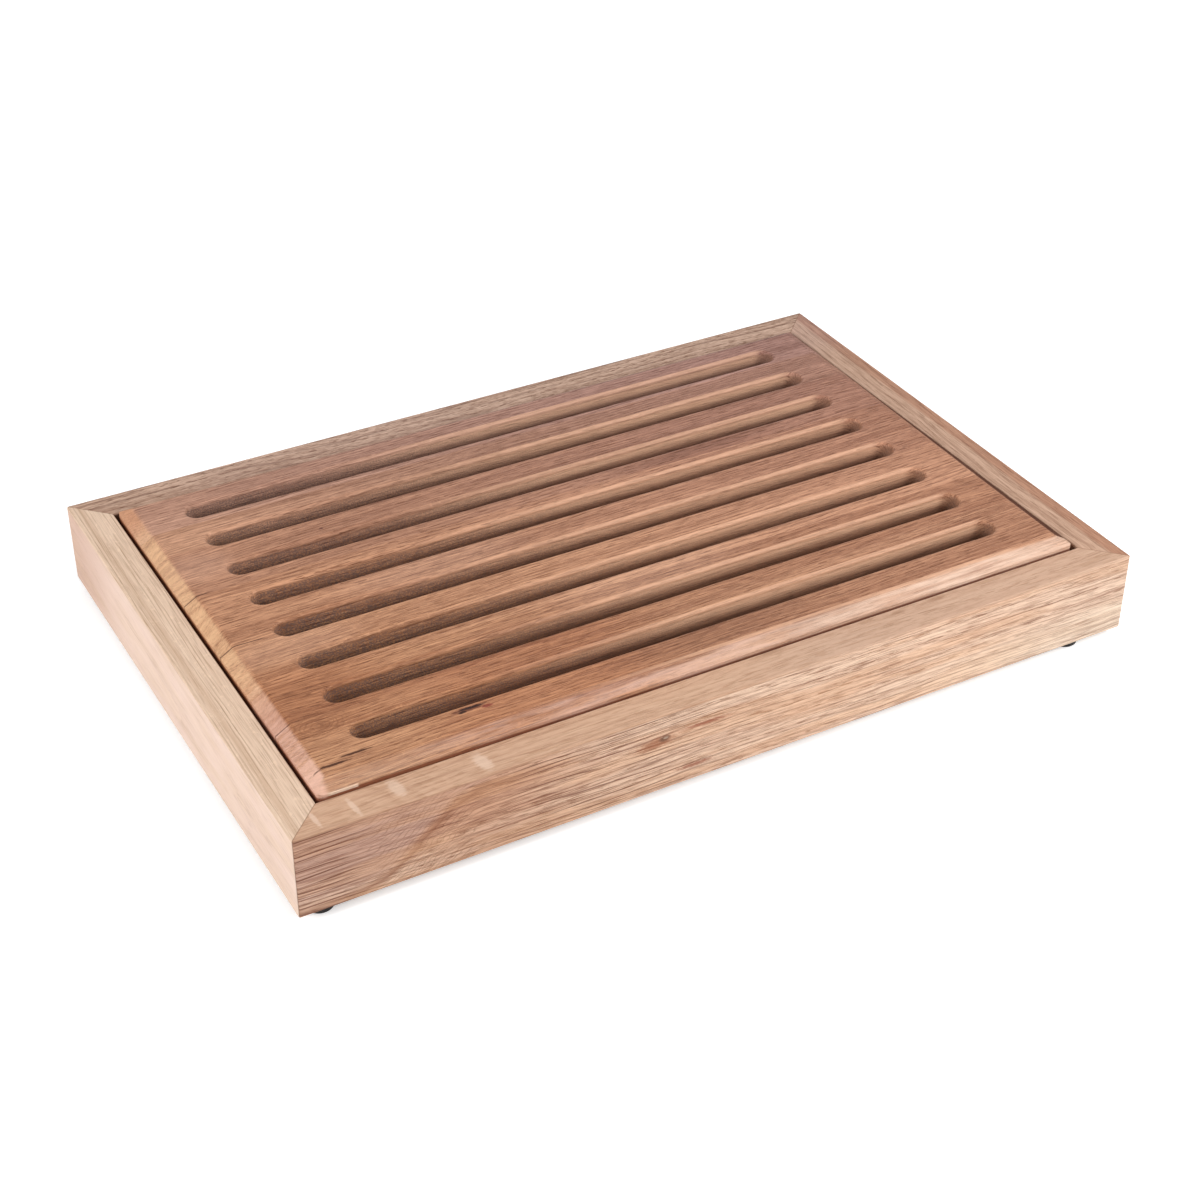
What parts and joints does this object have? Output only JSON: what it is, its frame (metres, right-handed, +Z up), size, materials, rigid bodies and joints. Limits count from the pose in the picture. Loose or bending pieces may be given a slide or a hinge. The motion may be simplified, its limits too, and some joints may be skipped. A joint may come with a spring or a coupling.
{
  "type": "bread board",
  "caption": "Low mitred wooden crumb tray on rubber feet, with a thick bevelled slotted board lying loose in it; the board lifts out to empty the tray.",
  "frame": {"origin": "centre of the footprint, on the surface that the feet stand on", "axes": "+X to the right along the length and along the slots, +Y to the back, +Z up out of the slotted board"},
  "size_m": [0.48, 0.32, 0.057],
  "materials": {
    "rail_oak": "oiled oak, satin, fine open grain",
    "stave_oak": "oiled oak, satin, slightly redder and darker than the tray",
    "floor_panel": "oak-faced panel, matt",
    "ledger_wood": "planed oak, matt",
    "dowel_wood": "beech, matt",
    "foot_rubber": "black rubber, matt"
  },
  "bodies": {
    "tray": {"front_rail": "rail_oak", "right_rail": "rail_oak", "back_rail": "rail_oak", "left_rail": "rail_oak", "crumb_floor": "floor_panel", "ledger_front": "ledger_wood", "ledger_right": "ledger_wood", "ledger_back": "ledger_wood", "ledger_left": "ledger_wood", "dowel_front_left_low": "dowel_wood", "dowel_front_left_high": "dowel_wood", "dowel_front_right_low": "dowel_wood", "dowel_front_right_high": "dowel_wood", "dowel_back_left_low": "dowel_wood", "dowel_back_left_high": "dowel_wood", "dowel_back_right_low": "dowel_wood", "dowel_back_right_high": "dowel_wood", "foot_front_left": "foot_rubber", "foot_front_right": "foot_rubber", "foot_back_left": "foot_rubber", "foot_back_right": "foot_rubber"},
    "board": {"stave_1": "stave_oak", "stave_2": "stave_oak", "stave_3": "stave_oak", "stave_4": "stave_oak", "stave_5": "stave_oak", "stave_6": "stave_oak", "stave_7": "stave_oak"}
  },
  "joints": [
    {"name": "board_lift", "type": "slide", "parent": "tray", "child": "board", "axis": [0, 0, 1], "range_m": [0, 0.06]}
  ]
}
